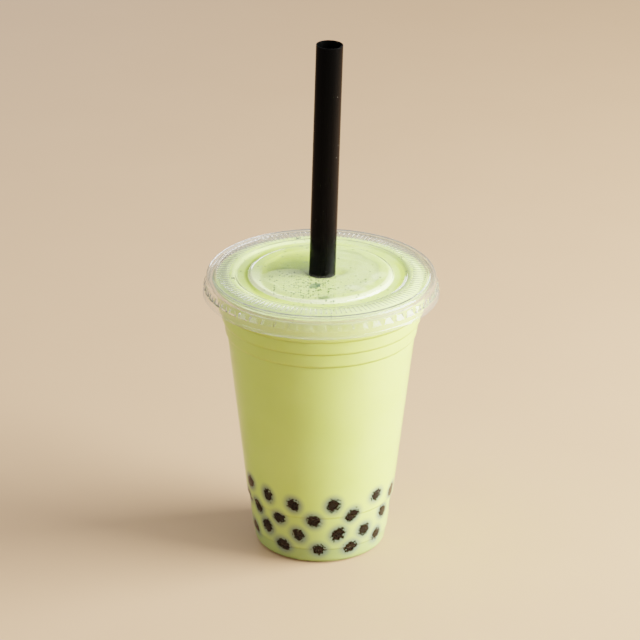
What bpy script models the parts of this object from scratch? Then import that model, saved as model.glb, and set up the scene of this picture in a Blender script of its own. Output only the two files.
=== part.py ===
"""A cup of bubble tea: a clear thermoformed cup with a flat clear lid, a wide black straw, pale green milk
tea with froth on top, and dark tapioca pearls settled along the wall at the bottom.

Run with: blender --background --python part.py
Metres, +Z up. The origin is the centre of the foot, on the surface that the cup stands on.
"""
import math
import random

import bmesh
import bpy
from mathutils import Matrix, Vector

MM = 0.001
GAP = 0.3 * MM                      # left between pieces that touch

# Cup
CUP_SEGMENTS = 40
CUP_WALL = 0.6 * MM
FOOT_RADIUS = 28.4 * MM             # the wall's straight line, carried down to the table
DRAFT = 0.113                       # radius gained for each unit of height
LEDGES = ((7.1 * MM, 0.45 * MM), (23.3 * MM, 0.6 * MM), (99.5 * MM, 0.75 * MM),
          (105.9 * MM, 0.75 * MM), (112.2 * MM, 0.75 * MM))   # (height, how far the wall steps out)
LEDGE_RISE = 0.9 * MM
FOOT_CORNER = 2.9 * MM              # radius of the rounded bottom corner
FOOT_CORNER_POINTS = 4
FOOT_RING_WIDTH = 1.9 * MM
BASE_RECESS = 1.6 * MM
BASE_RECESS_SLOPE = 1.0 * MM
WALL_TOP = 123.0 * MM
RIM_RADIUS = 47.2 * MM              # centre line of the rolled rim
RIM_ROLL = 1.35 * MM
RIM_HEIGHT = 124.1 * MM
RIM_START = math.radians(150)       # where the roll leaves the wall's inner side
RIM_END = math.radians(-140)        # and where it meets the outer side again
RIM_POINTS = 5

# Lid
LID_SEGMENTS = 52                   # one for each gripping lug
LID_SHEET = 0.5 * MM
LID_HOLE = 6.5 * MM
PANEL_RADIUS = 31.2 * MM            # foot of the raised centre panel
PANEL_TOP = 126.8 * MM
PANEL_SHOULDER = 1.6 * MM
CHANNEL_FLOOR = 125.2 * MM
CHANNEL_RADIUS = 37.1 * MM
PLATE_TOP = 126.3 * MM              # the flat band that carries the fine ribs
PLATE_RADIUS = 45.3 * MM
BEAD_RADIUS = 47.7 * MM             # centre line of the ridge that covers the cup's rim
BEAD_ROLL = 1.8 * MM
BEAD_HEIGHT = 124.8 * MM
BEAD_START = math.radians(130)
LUG_TOP = 122.9 * MM
LUG_FOOT = 120.6 * MM
LUG_DEPTH = 0.45 * MM
LUG_MARGIN = 0.55 * MM
LUG_TAPER = 0.35                    # share of its width that a lug loses towards its top
SKIRT_DRAFT = 0.09                  # radius gained for each unit of drop
LIP_TOP = 118.1 * MM
LIP_FOOT = 117.4 * MM
LIP_FLARE = 0.75 * MM

# Straw
STRAW_SEGMENTS = 20
STRAW_RADIUS = 5.75 * MM
STRAW_WALL = 0.5 * MM
STRAW_FOOT = Vector((-2.68, 0.0, 3.6)) * MM
STRAW_TOP = Vector((3.04, 0.0, 229.8)) * MM

# Drink and froth
DRINK_FLOOR = 2.5 * MM
DRINK_LEVEL = 121.0 * MM
FROTH_FOOT = DRINK_LEVEL + GAP
FROTH_LEVEL = 123.0 * MM            # at the cup's wall
FROTH_EDGE = 0.5 * MM
DIMPLE_RADIUS = 11.5 * MM
DIMPLE_DEPTH = 2.4 * MM
DIMPLE_SHOULDER = 0.55              # share of the dimple's width where its side bends
DIMPLE_SIDE = 1 / 3                 # share of its depth that is reached there
DRINK_FLOOR_INSET = 1.2 * MM        # how far the drink's floor stays inside its side
FROTH_SHOULDER = (0.3, 0.5)         # shares of the panel's shoulder, across and down, where the froth bends

# Pearls
PEARL_RADIUS = 3.75 * MM
PEARL_SIDES = 8
PEARL_RINGS = 4
PEARL_SINK = 0.08 * MM              # the flat side lies this far inside the drink's surface
PEARL_SIZE_SPREAD = 0.04
PEARL_BACK_JITTER = 2.5             # degrees
PEARL_HEIGHT_JITTER = 0.4 * MM
PEARL_SEED = 11
# Each row: its height; the pearls that show in front, as azimuth in degrees (0 faces the viewer, + to the
# right) and rise above the row in millimetres; and the first and last azimuth and number of those behind.
PEARL_ROWS = (
    (7.6 * MM, ((-70, 1.6), (-33, 0.1), (-1, -0.2), (27, -0.2), (55, 1.6)), (95, 262, 6)),
    (14.6 * MM, ((-49, -0.2), (-18, -0.3), (15, 0.4), (39, 0.0)), (112, 245, 5)),
    (21.8 * MM, ((-77, 1.8), (-59, 0.4), (-35, -0.8), (-5, 0.4), (26, 2.2), (61, -2.4), (86, -3.0)), (128, 262, 5)),
    (30.3 * MM, ((-67, 2.0), (-44, 0.8), (-21, -0.7), (10, -0.1), (48, 0.2), (72, -2.8)), (103, 262, 6)),
)


def material(name, colour, roughness, alpha=1.0):
    """A Principled material in the part's own colour."""
    made = bpy.data.materials.new(name)
    made.use_nodes = True
    shader = made.node_tree.nodes["Principled BSDF"]
    shader.inputs["Base Color"].default_value = (*colour, 1.0)
    shader.inputs["Roughness"].default_value = roughness
    shader.inputs["Metallic"].default_value = 0.0
    shader.inputs["Alpha"].default_value = alpha
    return made


def arc(centre, radius, start, end, count):
    """count points on an arc in the XZ plane, from angle start to angle end, as (x, z) pairs."""
    step = (end - start) / (count - 1)
    return [(centre[0] + radius * math.cos(start + step * i), centre[1] + radius * math.sin(start + step * i))
            for i in range(count)]


def offset_inward(outline, distance):
    """The outline moved sideways by distance, to the right of its own direction, with mitred corners."""
    points = [Vector(p) for p in outline]
    normals = []
    for a, b in zip(points, points[1:]):
        run = (b - a).normalized()
        normals.append(Vector((run.y, -run.x)))
    moved = []
    for i, point in enumerate(points):
        before = normals[max(i - 1, 0)]
        after = normals[min(i, len(normals) - 1)]
        middle = (before + after).normalized()
        moved.append(tuple(point + middle * (distance / middle.dot(after))))
    return moved


def profile_mesh(name, outline, closed):
    """A mesh of edges along an outline of (x, z) pairs."""
    mesh = bpy.data.meshes.new(name)
    edges = [(i, i + 1) for i in range(len(outline) - 1)]
    if closed:
        edges.append((len(outline) - 1, 0))
    mesh.from_pydata([(x, 0.0, z) for x, z in outline], edges, [])
    return mesh


def turned(name, outline, segments, collection, closed=False):
    """A turned solid: an outline with a Screw modifier about the object's own Z axis."""
    piece = bpy.data.objects.new(name, profile_mesh(name, outline, closed))
    collection.objects.link(piece)
    screw = piece.modifiers.new("Turn", "SCREW")
    screw.axis = "Z"
    screw.angle = math.tau
    screw.steps = segments
    screw.render_steps = segments
    screw.use_merge_vertices = True
    screw.merge_threshold = 0.00001
    screw.use_smooth_shade = True
    return piece


def made_solid(piece):
    """The piece with its modifiers applied to its mesh."""
    graph = bpy.context.evaluated_depsgraph_get()
    mesh = bpy.data.meshes.new_from_object(piece.evaluated_get(graph))
    piece.modifiers.clear()
    old = piece.data
    piece.data = mesh
    bpy.data.meshes.remove(old)
    mesh.name = piece.name
    return piece


def wall_radius(height):
    """Outer radius of the cup's wall at a height: a straight draft, stepped out at each ledge."""
    radius = FOOT_RADIUS + DRAFT * height
    for foot, step in LEDGES:
        radius += step * min(max((height - foot) / LEDGE_RISE, 0.0), 1.0)
    return radius


def wall_heights(low, high):
    """The heights between low and high at which the wall turns, with low and high themselves."""
    turns = [h for foot, _ in LEDGES for h in (foot, foot + LEDGE_RISE)]
    return [low] + [h for h in turns if low < h < high] + [high]


def cup(collection):
    """The cup: stepped wall, rolled rim, rounded bottom corner, foot ring and recessed base."""
    corner_radius = wall_radius(FOOT_CORNER)
    foot_outer = corner_radius - FOOT_CORNER
    foot_inner = foot_outer - FOOT_RING_WIDTH
    heights = wall_heights(FOOT_CORNER, WALL_TOP)
    floor = BASE_RECESS + CUP_WALL
    inner = [(0.0, floor), (foot_inner - BASE_RECESS_SLOPE, floor), (foot_inner + CUP_WALL / 2, CUP_WALL),
             (foot_outer, CUP_WALL)]
    inner += [(wall_radius(h) - CUP_WALL, h) for h in heights]
    roll = arc((RIM_RADIUS, RIM_HEIGHT), RIM_ROLL, RIM_START, RIM_END, RIM_POINTS)
    outer = [(wall_radius(h), h) for h in reversed(heights)]
    outer += arc((foot_outer, FOOT_CORNER), FOOT_CORNER, 0.0, math.radians(-90), FOOT_CORNER_POINTS)[1:]
    outer += [(foot_inner, 0.0), (foot_inner - BASE_RECESS_SLOPE, BASE_RECESS), (0.0, BASE_RECESS)]
    return turned("cup", inner + roll + outer, CUP_SEGMENTS, collection)


def lid_outline(shoulder_points, bead_points):
    """The lid's upper surface, from the straw hole outward and down the skirt, with that many points in its
    two round stretches."""
    skirt = BEAD_RADIUS + BEAD_ROLL

    def at(height):
        return (skirt + SKIRT_DRAFT * (BEAD_HEIGHT - height), height)

    panel = arc((PANEL_RADIUS - PANEL_SHOULDER, PANEL_TOP - PANEL_SHOULDER), PANEL_SHOULDER,
                math.radians(90), 0.0, shoulder_points)
    bead = arc((BEAD_RADIUS, BEAD_HEIGHT), BEAD_ROLL, BEAD_START, 0.0, bead_points)
    flare = at(LIP_FOOT)[0] + LIP_FLARE
    return ([(LID_HOLE, PANEL_TOP)] + panel[:-1] + [(PANEL_RADIUS, CHANNEL_FLOOR)]
            + [(CHANNEL_RADIUS - (PLATE_TOP - CHANNEL_FLOOR), CHANNEL_FLOOR), (CHANNEL_RADIUS, PLATE_TOP)]
            + [(PLATE_RADIUS, PLATE_TOP)] + bead
            + [at(LUG_TOP), at(LUG_FOOT), at(LIP_TOP), (flare, LIP_FOOT)])


def add_lugs(lid):
    """Raises one small trapezoid lug on each side of the skirt between the lug lines."""
    mesh = bmesh.new()
    mesh.from_mesh(lid.data)
    middle = (LUG_TOP + LUG_FOOT) / 2
    sides = [f for f in mesh.faces
             if LUG_FOOT < f.calc_center_median().z < LUG_TOP
             and f.normal.xy.dot(f.calc_center_median().xy) > 0]
    raised = bmesh.ops.inset_individual(mesh, faces=sides, thickness=LUG_MARGIN, depth=LUG_DEPTH)
    bmesh.ops.recalc_face_normals(mesh, faces=raised["faces"] + sides)
    for face in sides:
        along = Vector((-face.normal.y, face.normal.x, 0.0)).normalized()
        centre = face.calc_center_median()
        for corner in face.verts:
            if corner.co.z > middle:
                corner.co -= along * (corner.co - centre).dot(along) * LUG_TAPER
    mesh.to_mesh(lid.data)
    mesh.free()


def lid(collection):
    """The lid: raised centre panel, channel, plate, bead over the rim, skirt with lugs, and flared lip."""
    upper = lid_outline(shoulder_points=3, bead_points=5)
    lower = offset_inward(lid_outline(shoulder_points=2, bead_points=4), LID_SHEET)
    lower[0] = (LID_HOLE, PANEL_TOP - LID_SHEET)
    piece = turned("lid", upper + lower[::-1], LID_SEGMENTS, collection, closed=True)
    made_solid(piece)
    add_lugs(piece)
    return piece


def straw_matrix():
    """Places a piece that stands at the origin at the straw's foot, along its lean."""
    lean = math.atan2(STRAW_TOP.x - STRAW_FOOT.x, STRAW_TOP.z - STRAW_FOOT.z)
    return Matrix.Translation(STRAW_FOOT) @ Matrix.Rotation(lean, 4, "Y")


def tube(name, inner, outer, low, high, segments, collection):
    """A straight tube, or a rod where inner is 0, along the straw's axis."""
    outline = [(inner, high), (outer, high), (outer, low), (inner, low)]
    piece = turned(name, outline, segments, collection, closed=inner > 0)
    piece.matrix_world = straw_matrix()
    return piece


def straw(collection):
    """The wide straw, open at both ends."""
    length = (STRAW_TOP - STRAW_FOOT).length
    return tube("straw", STRAW_RADIUS - STRAW_WALL, STRAW_RADIUS, 0.0, length, STRAW_SEGMENTS, collection)


def cut(piece, name, cutter=None, cutters=None):
    """Cuts one object, or every object of a collection, out of the piece."""
    boolean = piece.modifiers.new(name, "BOOLEAN")
    boolean.operation = "DIFFERENCE"
    boolean.solver = "EXACT"
    if cutters is not None:
        boolean.operand_type = "COLLECTION"
        boolean.collection = cutters
    else:
        boolean.object = cutter


def hide(cutter):
    """Marks an object as a tool and not a piece."""
    cutter.hide_render = True
    cutter.display_type = "WIRE"


def drink_radius(height):
    """Radius of the drink's side at a height, just clear of the cup's inner wall."""
    return wall_radius(height) - CUP_WALL - GAP


def drink(collection, tools, pockets):
    """The milk tea up to its level, cut round the straw's wall, with a pocket for each pearl."""
    heights = wall_heights(FOOT_CORNER + GAP, DRINK_LEVEL)
    outline = [(0.0, DRINK_LEVEL)] + [(drink_radius(h), h) for h in reversed(heights)]
    outline += [(drink_radius(FOOT_CORNER) - DRINK_FLOOR_INSET, DRINK_FLOOR), (0.0, DRINK_FLOOR)]
    piece = turned("drink", outline, CUP_SEGMENTS, collection)
    sleeve = tube("straw_sleeve", STRAW_RADIUS - STRAW_WALL - GAP, STRAW_RADIUS + GAP, -GAP,
                  DRINK_LEVEL + FOOT_CORNER, STRAW_SEGMENTS, tools)
    hide(sleeve)
    cut(piece, "Straw", cutter=sleeve)
    cut(piece, "Pearls", cutters=pockets)
    return piece


def froth(collection, tools):
    """The froth on the drink: low at the wall, filling the lid's raised panel, with a dimple at the straw."""
    edge = wall_radius(FROTH_LEVEL) - CUP_WALL - GAP
    under_channel = CHANNEL_FLOOR - LID_SHEET - GAP
    under_panel = PANEL_TOP - LID_SHEET - GAP
    panel_side = PANEL_RADIUS - LID_SHEET - GAP
    mouth = STRAW_RADIUS + GAP
    half_way = mouth + (DIMPLE_RADIUS - mouth) * DIMPLE_SHOULDER
    across, down = (PANEL_SHOULDER * share for share in FROTH_SHOULDER)
    outline = [(0.0, under_panel - DIMPLE_DEPTH), (mouth, under_panel - DIMPLE_DEPTH),
               (half_way, under_panel - DIMPLE_DEPTH * DIMPLE_SIDE), (DIMPLE_RADIUS, under_panel),
               (panel_side - PANEL_SHOULDER, under_panel),
               (panel_side - across, under_panel - down),
               (panel_side, under_channel), (CHANNEL_RADIUS, under_channel - GAP),
               (CHANNEL_RADIUS + (FROTH_LEVEL - FROTH_FOOT), FROTH_LEVEL + FROTH_EDGE),
               (edge - FROTH_EDGE, FROTH_LEVEL), (edge, FROTH_LEVEL - FROTH_EDGE),
               (wall_radius(FROTH_FOOT) - CUP_WALL - GAP, FROTH_FOOT), (0.0, FROTH_FOOT)]
    piece = turned("foam", outline, CUP_SEGMENTS, collection)
    rod = turned("straw_rod", [(0.0, STRAW_TOP.z), (mouth, STRAW_TOP.z), (mouth, 0.0), (0.0, 0.0)],
                 STRAW_SEGMENTS, tools)
    rod.matrix_world = straw_matrix()
    hide(rod)
    cut(piece, "Straw", cutter=rod)
    return piece


def room_for_pearl(height, half):
    """How far out a flat side can lie at a height, clear of every ledge that it spans from half below to above."""
    spans = wall_heights(height - half, height + half)
    return min(drink_radius(h) + DRAFT * (height - h) for h in spans) - PEARL_SINK


def pearl_mesh():
    """A ball of unit radius with its outer pole cut flat, where it presses on the cup's wall (+Z here)."""
    mesh = bmesh.new()
    bmesh.ops.create_uvsphere(mesh, u_segments=PEARL_SIDES, v_segments=PEARL_RINGS, radius=1.0)
    pole = max(mesh.verts, key=lambda v: v.co.z)
    bmesh.ops.dissolve_verts(mesh, verts=[pole])
    made = bpy.data.meshes.new("pearl")
    mesh.to_mesh(made)
    mesh.free()
    return made


def pocket_mesh():
    """The whole ball that cuts a pearl's pocket in the drink."""
    mesh = bmesh.new()
    bmesh.ops.create_uvsphere(mesh, u_segments=PEARL_SIDES, v_segments=PEARL_RINGS, radius=1.0)
    made = bpy.data.meshes.new("pocket")
    mesh.to_mesh(made)
    mesh.free()
    return made


def pearl_places():
    """(azimuth in radians, height, size factor) of each pearl, row by row."""
    draw = random.Random(PEARL_SEED)
    places = []
    for row_height, front, (first, last, count) in PEARL_ROWS:
        row = [(degrees, row_height + rise * MM) for degrees, rise in front]
        for i in range(count):
            degrees = first + (last - first) * i / (count - 1) + draw.uniform(-1, 1) * PEARL_BACK_JITTER
            row.append((degrees, row_height + draw.uniform(-1, 1) * PEARL_HEIGHT_JITTER))
        for degrees, height in row:
            size = 1.0 + draw.uniform(-1, 1) * PEARL_SIZE_SPREAD
            places.append((math.radians(degrees), height, size))
    return places


def pearls(collection, pockets, finish):
    """The pearls along the wall, each with the ball that cuts its pocket."""
    flat, half = math.cos(math.pi / PEARL_RINGS), math.sin(math.pi / PEARL_RINGS)
    shape, hollow = pearl_mesh(), pocket_mesh()
    shape.materials.append(finish)
    for index, (azimuth, height, size) in enumerate(pearl_places(), start=1):
        radius = PEARL_RADIUS * size
        away = room_for_pearl(height, half * radius) - flat * radius
        centre = Vector((away * math.sin(azimuth), -away * math.cos(azimuth), height))
        outward = Vector((math.sin(azimuth), -math.cos(azimuth), -DRAFT))
        turn = outward.to_track_quat("Z", "Y")
        pearl = bpy.data.objects.new(f"pearl_{index:02d}", shape)
        pocket = bpy.data.objects.new(f"pocket_{index:02d}", hollow)
        for piece, reach, group in ((pearl, radius, collection), (pocket, radius + GAP, pockets)):
            piece.location = centre
            piece.rotation_mode = "QUATERNION"
            piece.rotation_quaternion = turn
            piece.scale = (reach, reach, reach)
            group.objects.link(piece)
        hide(pocket)


def new_collection(name):
    """A collection linked to the scene."""
    made = bpy.data.collections.new(name)
    bpy.context.scene.collection.children.link(made)
    return made


def main():
    """Builds the part in an empty scene."""
    for old in list(bpy.data.objects):
        bpy.data.objects.remove(old)
    parts = new_collection("Bubble tea")
    tools = new_collection("Cutters")
    pockets = new_collection("Pearl pockets")
    clear = material("Clear plastic", (0.93, 0.95, 0.94), 0.06, alpha=0.3)
    black = material("Black straw plastic", (0.012, 0.012, 0.013), 0.38)
    tea = material("Green milk tea", (0.66, 0.72, 0.30), 0.3)
    foam = material("Pale froth", (0.74, 0.82, 0.46), 0.5)
    tapioca = material("Tapioca", (0.022, 0.014, 0.010), 0.25)
    cup(parts).data.materials.append(clear)
    lid(parts).data.materials.append(clear)
    straw(parts).data.materials.append(black)
    pearls(parts, pockets, tapioca)
    bpy.context.view_layer.update()
    drink(parts, tools, pockets).data.materials.append(tea)
    froth(parts, tools).data.materials.append(foam)


main()
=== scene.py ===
"""The looks of the bubble tea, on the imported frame.

A clear cup and lid, a satin black straw, pale green milk tea with froth, and tapioca pearls along the wall.
Each piece is modelled with Blender's own operators at the place of its CAD node, and rides on the one body.
Metres, +Z up, origin at the centre of the foot. The viewer stands on the -Y side; azimuth 0 faces the viewer
and grows to the right.
"""
from __future__ import annotations

import logging
import math
import random
from contextlib import contextmanager
from dataclasses import dataclass
from enum import Enum
from typing import Any, Callable, Iterator, Sequence

import bmesh
import bpy
from mathutils import Matrix, Vector, noise

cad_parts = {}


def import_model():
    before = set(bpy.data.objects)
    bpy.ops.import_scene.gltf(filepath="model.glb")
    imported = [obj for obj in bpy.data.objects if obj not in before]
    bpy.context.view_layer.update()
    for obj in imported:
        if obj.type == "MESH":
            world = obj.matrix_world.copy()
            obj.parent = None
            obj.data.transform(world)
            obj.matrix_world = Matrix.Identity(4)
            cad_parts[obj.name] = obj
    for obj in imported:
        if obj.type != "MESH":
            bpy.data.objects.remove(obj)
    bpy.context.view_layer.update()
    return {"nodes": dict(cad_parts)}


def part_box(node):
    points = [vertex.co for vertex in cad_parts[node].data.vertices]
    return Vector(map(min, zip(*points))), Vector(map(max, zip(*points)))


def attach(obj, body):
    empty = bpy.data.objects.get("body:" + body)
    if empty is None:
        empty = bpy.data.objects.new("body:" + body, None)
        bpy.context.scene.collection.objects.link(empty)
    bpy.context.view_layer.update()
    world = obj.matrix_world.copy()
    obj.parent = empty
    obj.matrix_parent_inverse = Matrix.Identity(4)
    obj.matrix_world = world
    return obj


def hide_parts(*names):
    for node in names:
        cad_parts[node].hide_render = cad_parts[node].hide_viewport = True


log = logging.getLogger("bubble_tea")

MM = 0.001
BODY = "root"
MERGE_DISTANCE = 0.001 * MM

Colour = tuple[float, float, float]


class Pick(Enum):
    """What edit mode selects."""

    VERT = "VERT"
    FACE = "FACE"


class Slot(Enum):
    """Names of the material slots."""

    CUP = "cup_plastic"
    LID = "lid_plastic"
    STRAW = "straw_plastic"
    TEA = "milk_tea"
    FROTH = "froth"
    PEARL = "tapioca"


def around(place: Vector) -> float:
    """The azimuth of a place, in radians from 0 to a full turn."""
    return math.atan2(place.x, -place.y) % math.tau


def bearing(azimuth: float) -> Vector:
    """The level unit vector that points away from the axis at an azimuth in radians."""
    return Vector((math.sin(azimuth), -math.cos(azimuth), 0.0))


def ease(value: float, low: float, high: float) -> float:
    """0 below low, 1 above high and a smooth step between, where low may be the larger."""
    share = min(max((value - low) / (high - low), 0.0), 1.0)
    return share * share * (3.0 - 2.0 * share)


def band(value: float, start: float, full: float, fading: float, end: float) -> float:
    """1 from full to fading and 0 outside start and end, with smooth steps between."""
    return ease(value, start, full) * ease(value, end, fading)


def swell(distance: float, width: float) -> float:
    """A bell of height 1 over a place, which fades with distance."""
    return math.exp(-(distance / width) ** 2)


class Signal:
    """A number that changes over a surface: a node's socket that takes part in plain arithmetic."""

    def __init__(self, paint: Paint, socket: bpy.types.NodeSocket) -> None:
        """Wraps a socket.

        Args:
            paint: the material that the socket belongs to.
            socket: the output socket.
        """
        self.paint = paint
        self.socket = socket

    def _maths(self, operation: str, *terms: Any) -> Signal:
        """A Math node on the terms."""
        return self.paint.signal("ShaderNodeMath", {"operation": operation}, dict(enumerate(terms)))

    def __add__(self, other: Any) -> Signal:
        """self + other"""
        return self._maths("ADD", self, other)

    def __sub__(self, other: Any) -> Signal:
        """self - other"""
        return self._maths("SUBTRACT", self, other)

    def __rsub__(self, other: Any) -> Signal:
        """other - self"""
        return self._maths("SUBTRACT", other, self)

    def __mul__(self, other: Any) -> Signal:
        """self * other"""
        return self._maths("MULTIPLY", self, other)

    __radd__ = __add__
    __rmul__ = __mul__

    def ramp(self, low: float, high: float) -> Signal:
        """A smooth step from 0 at low to 1 at high."""
        return self.paint.signal("ShaderNodeMapRange", {"interpolation_type": "SMOOTHSTEP"},
                                 {"Value": self, "From Min": low, "From Max": high})


class Paint:
    """A material's node tree, from its coordinates to its output."""

    def __init__(self, name: str) -> None:
        """Starts an empty material.

        Args:
            name: the material's name.
        """
        self.material = bpy.data.materials.new(name)
        self.material.use_nodes = True
        self.tree = self.material.node_tree
        self.tree.nodes.clear()
        self.place = self.node("ShaderNodeTexCoord").outputs["Object"]

    def node(self, kind: str, settings: dict[str, Any] | None = None,
             inputs: dict[Any, Any] | None = None) -> bpy.types.Node:
        """Adds a node.

        Args:
            kind: the node's type.
            settings: the node's own settings, set before its sockets.
            inputs: a value, a Signal or a socket for each input, by name or number.

        Returns:
            The node.
        """
        made = self.tree.nodes.new(kind)
        for key, value in (settings or {}).items():
            setattr(made, key, value)
        for key, value in (inputs or {}).items():
            source = value.socket if isinstance(value, Signal) else value
            if isinstance(source, bpy.types.NodeSocket):
                self.tree.links.new(source, made.inputs[key])
            elif isinstance(source, tuple) and made.inputs[key].type == "RGBA":
                made.inputs[key].default_value = (*source, 1.0)
            else:
                made.inputs[key].default_value = source
        return made

    def signal(self, kind: str, settings: dict[str, Any] | None = None, inputs: dict[Any, Any] | None = None,
               output: int | str = 0) -> Signal:
        """Adds a node and takes a number from one of its outputs.

        Args:
            kind: the node's type.
            settings: its own settings.
            inputs: its inputs.
            output: the output's name or number.

        Returns:
            The number.
        """
        return Signal(self, self.node(kind, settings, inputs).outputs[output])

    def axis(self, name: str) -> Signal:
        """One of the object's coordinates, by its letter."""
        return self.signal("ShaderNodeSeparateXYZ", {}, {0: self.place}, name)

    def attribute(self, name: str) -> Signal:
        """The number that the piece stores for each vertex under a name."""
        return self.signal("ShaderNodeAttribute", {"attribute_name": name}, {}, "Fac")

    def clouds(self, size: float, detail: float = 2.0, roughness: float = 0.5,
               place: bpy.types.NodeSocket | None = None) -> Signal:
        """Noise from 0 to 1.

        Args:
            size: the size of its features, in metres.
            detail: how many finer layers it has.
            roughness: how strong those layers are.
            place: the coordinates, if not the object's own.

        Returns:
            The noise.
        """
        return self.signal("ShaderNodeTexNoise", {}, {"Vector": place or self.place, "Scale": 1.0 / size,
                                                      "Detail": detail, "Roughness": roughness})

    def cells(self, size: float) -> tuple[Signal, bpy.types.NodeSocket]:
        """Cells of a size in metres: how far a cell's middle is, and a random colour for each cell."""
        node = self.node("ShaderNodeTexVoronoi", {}, {"Vector": self.place, "Scale": 1.0 / size})
        return Signal(self, node.outputs["Distance"]), node.outputs["Color"]

    def layered(self, colour: Any, *layers: tuple[Any, Colour]) -> Any:
        """A colour under layers of other colours.

        Args:
            colour: the lowest colour.
            layers: for each layer upwards, how much of it covers what is below, and its colour.

        Returns:
            The colour that shows.
        """
        for share, layer in layers:
            mix = self.node("ShaderNodeMix", {"data_type": "RGBA"}, {0: share, 6: colour, 7: layer})
            colour = mix.outputs[2]
        return colour

    def relief(self, height: Signal, depth: float, below: bpy.types.NodeSocket | None = None
               ) -> bpy.types.NodeSocket:
        """A normal from a relief.

        Args:
            height: the relief, from 0 to 1.
            depth: how deep it is, in metres.
            below: the normal that it lies on, if another relief made one.

        Returns:
            The normal.
        """
        inputs = {"Height": height, "Distance": depth}
        if below is not None:
            inputs["Normal"] = below
        return self.node("ShaderNodeBump", {}, inputs).outputs[0]

    def shader(self, inputs: dict[str, Any]) -> bpy.types.NodeSocket:
        """A Principled shader."""
        return self.node("ShaderNodeBsdfPrincipled", {}, inputs).outputs[0]

    def mixed(self, share: Any, first: bpy.types.NodeSocket, second: bpy.types.NodeSocket
              ) -> bpy.types.NodeSocket:
        """The first shader where share is 0, and the second where it is 1."""
        return self.node("ShaderNodeMixShader", {}, {0: share, 1: first, 2: second}).outputs[0]

    def done(self, shader: bpy.types.NodeSocket) -> bpy.types.Material:
        """The material with its shader connected."""
        self.node("ShaderNodeOutputMaterial", {}, {"Surface": shader})
        return self.material


@dataclass(frozen=True)
class ClearPlastic:
    """Thin clear moulded plastic: glass that lets the lamps through to what it holds."""

    name: str
    tint: Colour
    dull_tint: Colour
    lamp_tint: Colour = (0.95, 0.955, 0.945)
    index: float = 1.5
    haze: float = 0.02
    extra_haze: float = 0.05
    flow_size: float = 9 * MM
    flow_depth: float = 0.03 * MM
    milk: Colour = (0.90, 0.90, 0.72)
    milk_roughness: float = 0.4
    milky: str = ""                     # the attribute that says how milky the plastic is; its extra milk is partly painted highlight

    def make(self) -> bpy.types.Material:
        """The material, with the faint waves that moulding leaves and a little uneven haze."""
        paint = Paint(self.name)
        flow = paint.clouds(self.flow_size, detail=1.0)
        haze = paint.clouds(self.flow_size * 3, detail=4.0, roughness=0.6)
        plastic = paint.shader({
            "Base Color": paint.layered(self.tint, (haze, self.dull_tint)),
            "Roughness": haze.ramp(0.35, 0.85) * self.extra_haze + self.haze,
            "IOR": self.index,
            "Transmission Weight": 1.0,
            "Normal": paint.relief(flow, self.flow_depth),
        })
        # a milk layer: partly haze, and where the attribute raises it, partly painted highlight
        if self.milky:
            share = paint.attribute(self.milky) * (haze.ramp(0.3, 0.7) * 0.5 + 0.75)
            milk = paint.shader({"Base Color": self.milk, "Roughness": self.milk_roughness})
            plastic = paint.mixed(share, plastic, milk)
        lamps = paint.node("ShaderNodeBsdfTransparent", {}, {"Color": self.lamp_tint}).outputs[0]
        ray = paint.node("ShaderNodeLightPath").outputs["Is Shadow Ray"]
        return paint.done(paint.mixed(ray, plastic, lamps))


@dataclass(frozen=True)
class SatinPlastic:
    """Extruded black plastic: satin, with faint lines along it and a few specks of dust."""

    name: str = "satin_black_plastic"
    black: Colour = (0.0008, 0.0008, 0.0007)
    worn: Colour = (0.0016, 0.0016, 0.0014)
    dust: Colour = (0.05, 0.047, 0.04)
    gloss: float = 0.04
    roughness: float = 0.21
    streak: float = 0.08
    streak_size: float = 0.9 * MM
    streak_length: float = 60.0
    grain_size: float = 0.25 * MM
    grain_depth: float = 0.006 * MM
    dust_cell: float = 5 * MM
    dust_radius: float = 0.035

    def make(self) -> bpy.types.Material:
        """The material."""
        paint = Paint(self.name)
        stretch = {"Vector": paint.place, "Scale": (1.0, 1.0, 1.0 / self.streak_length)}
        along = paint.node("ShaderNodeMapping", {}, stretch).outputs[0]
        streaks = paint.clouds(self.streak_size, detail=2.0, place=along)
        grain = paint.clouds(self.grain_size, detail=1.0)
        distance, _ = paint.cells(self.dust_cell)
        dusty = 1.0 - distance.ramp(self.dust_radius, self.dust_radius * 1.6)
        return paint.done(paint.shader({
            "Base Color": paint.layered(self.black, (streaks, self.worn), (dusty, self.dust)),
            "Roughness": streaks * self.streak + self.roughness,
            "Specular IOR Level": self.gloss,
            "Normal": paint.relief(grain, self.grain_depth, paint.relief(streaks, self.grain_depth)),
        }))


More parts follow.
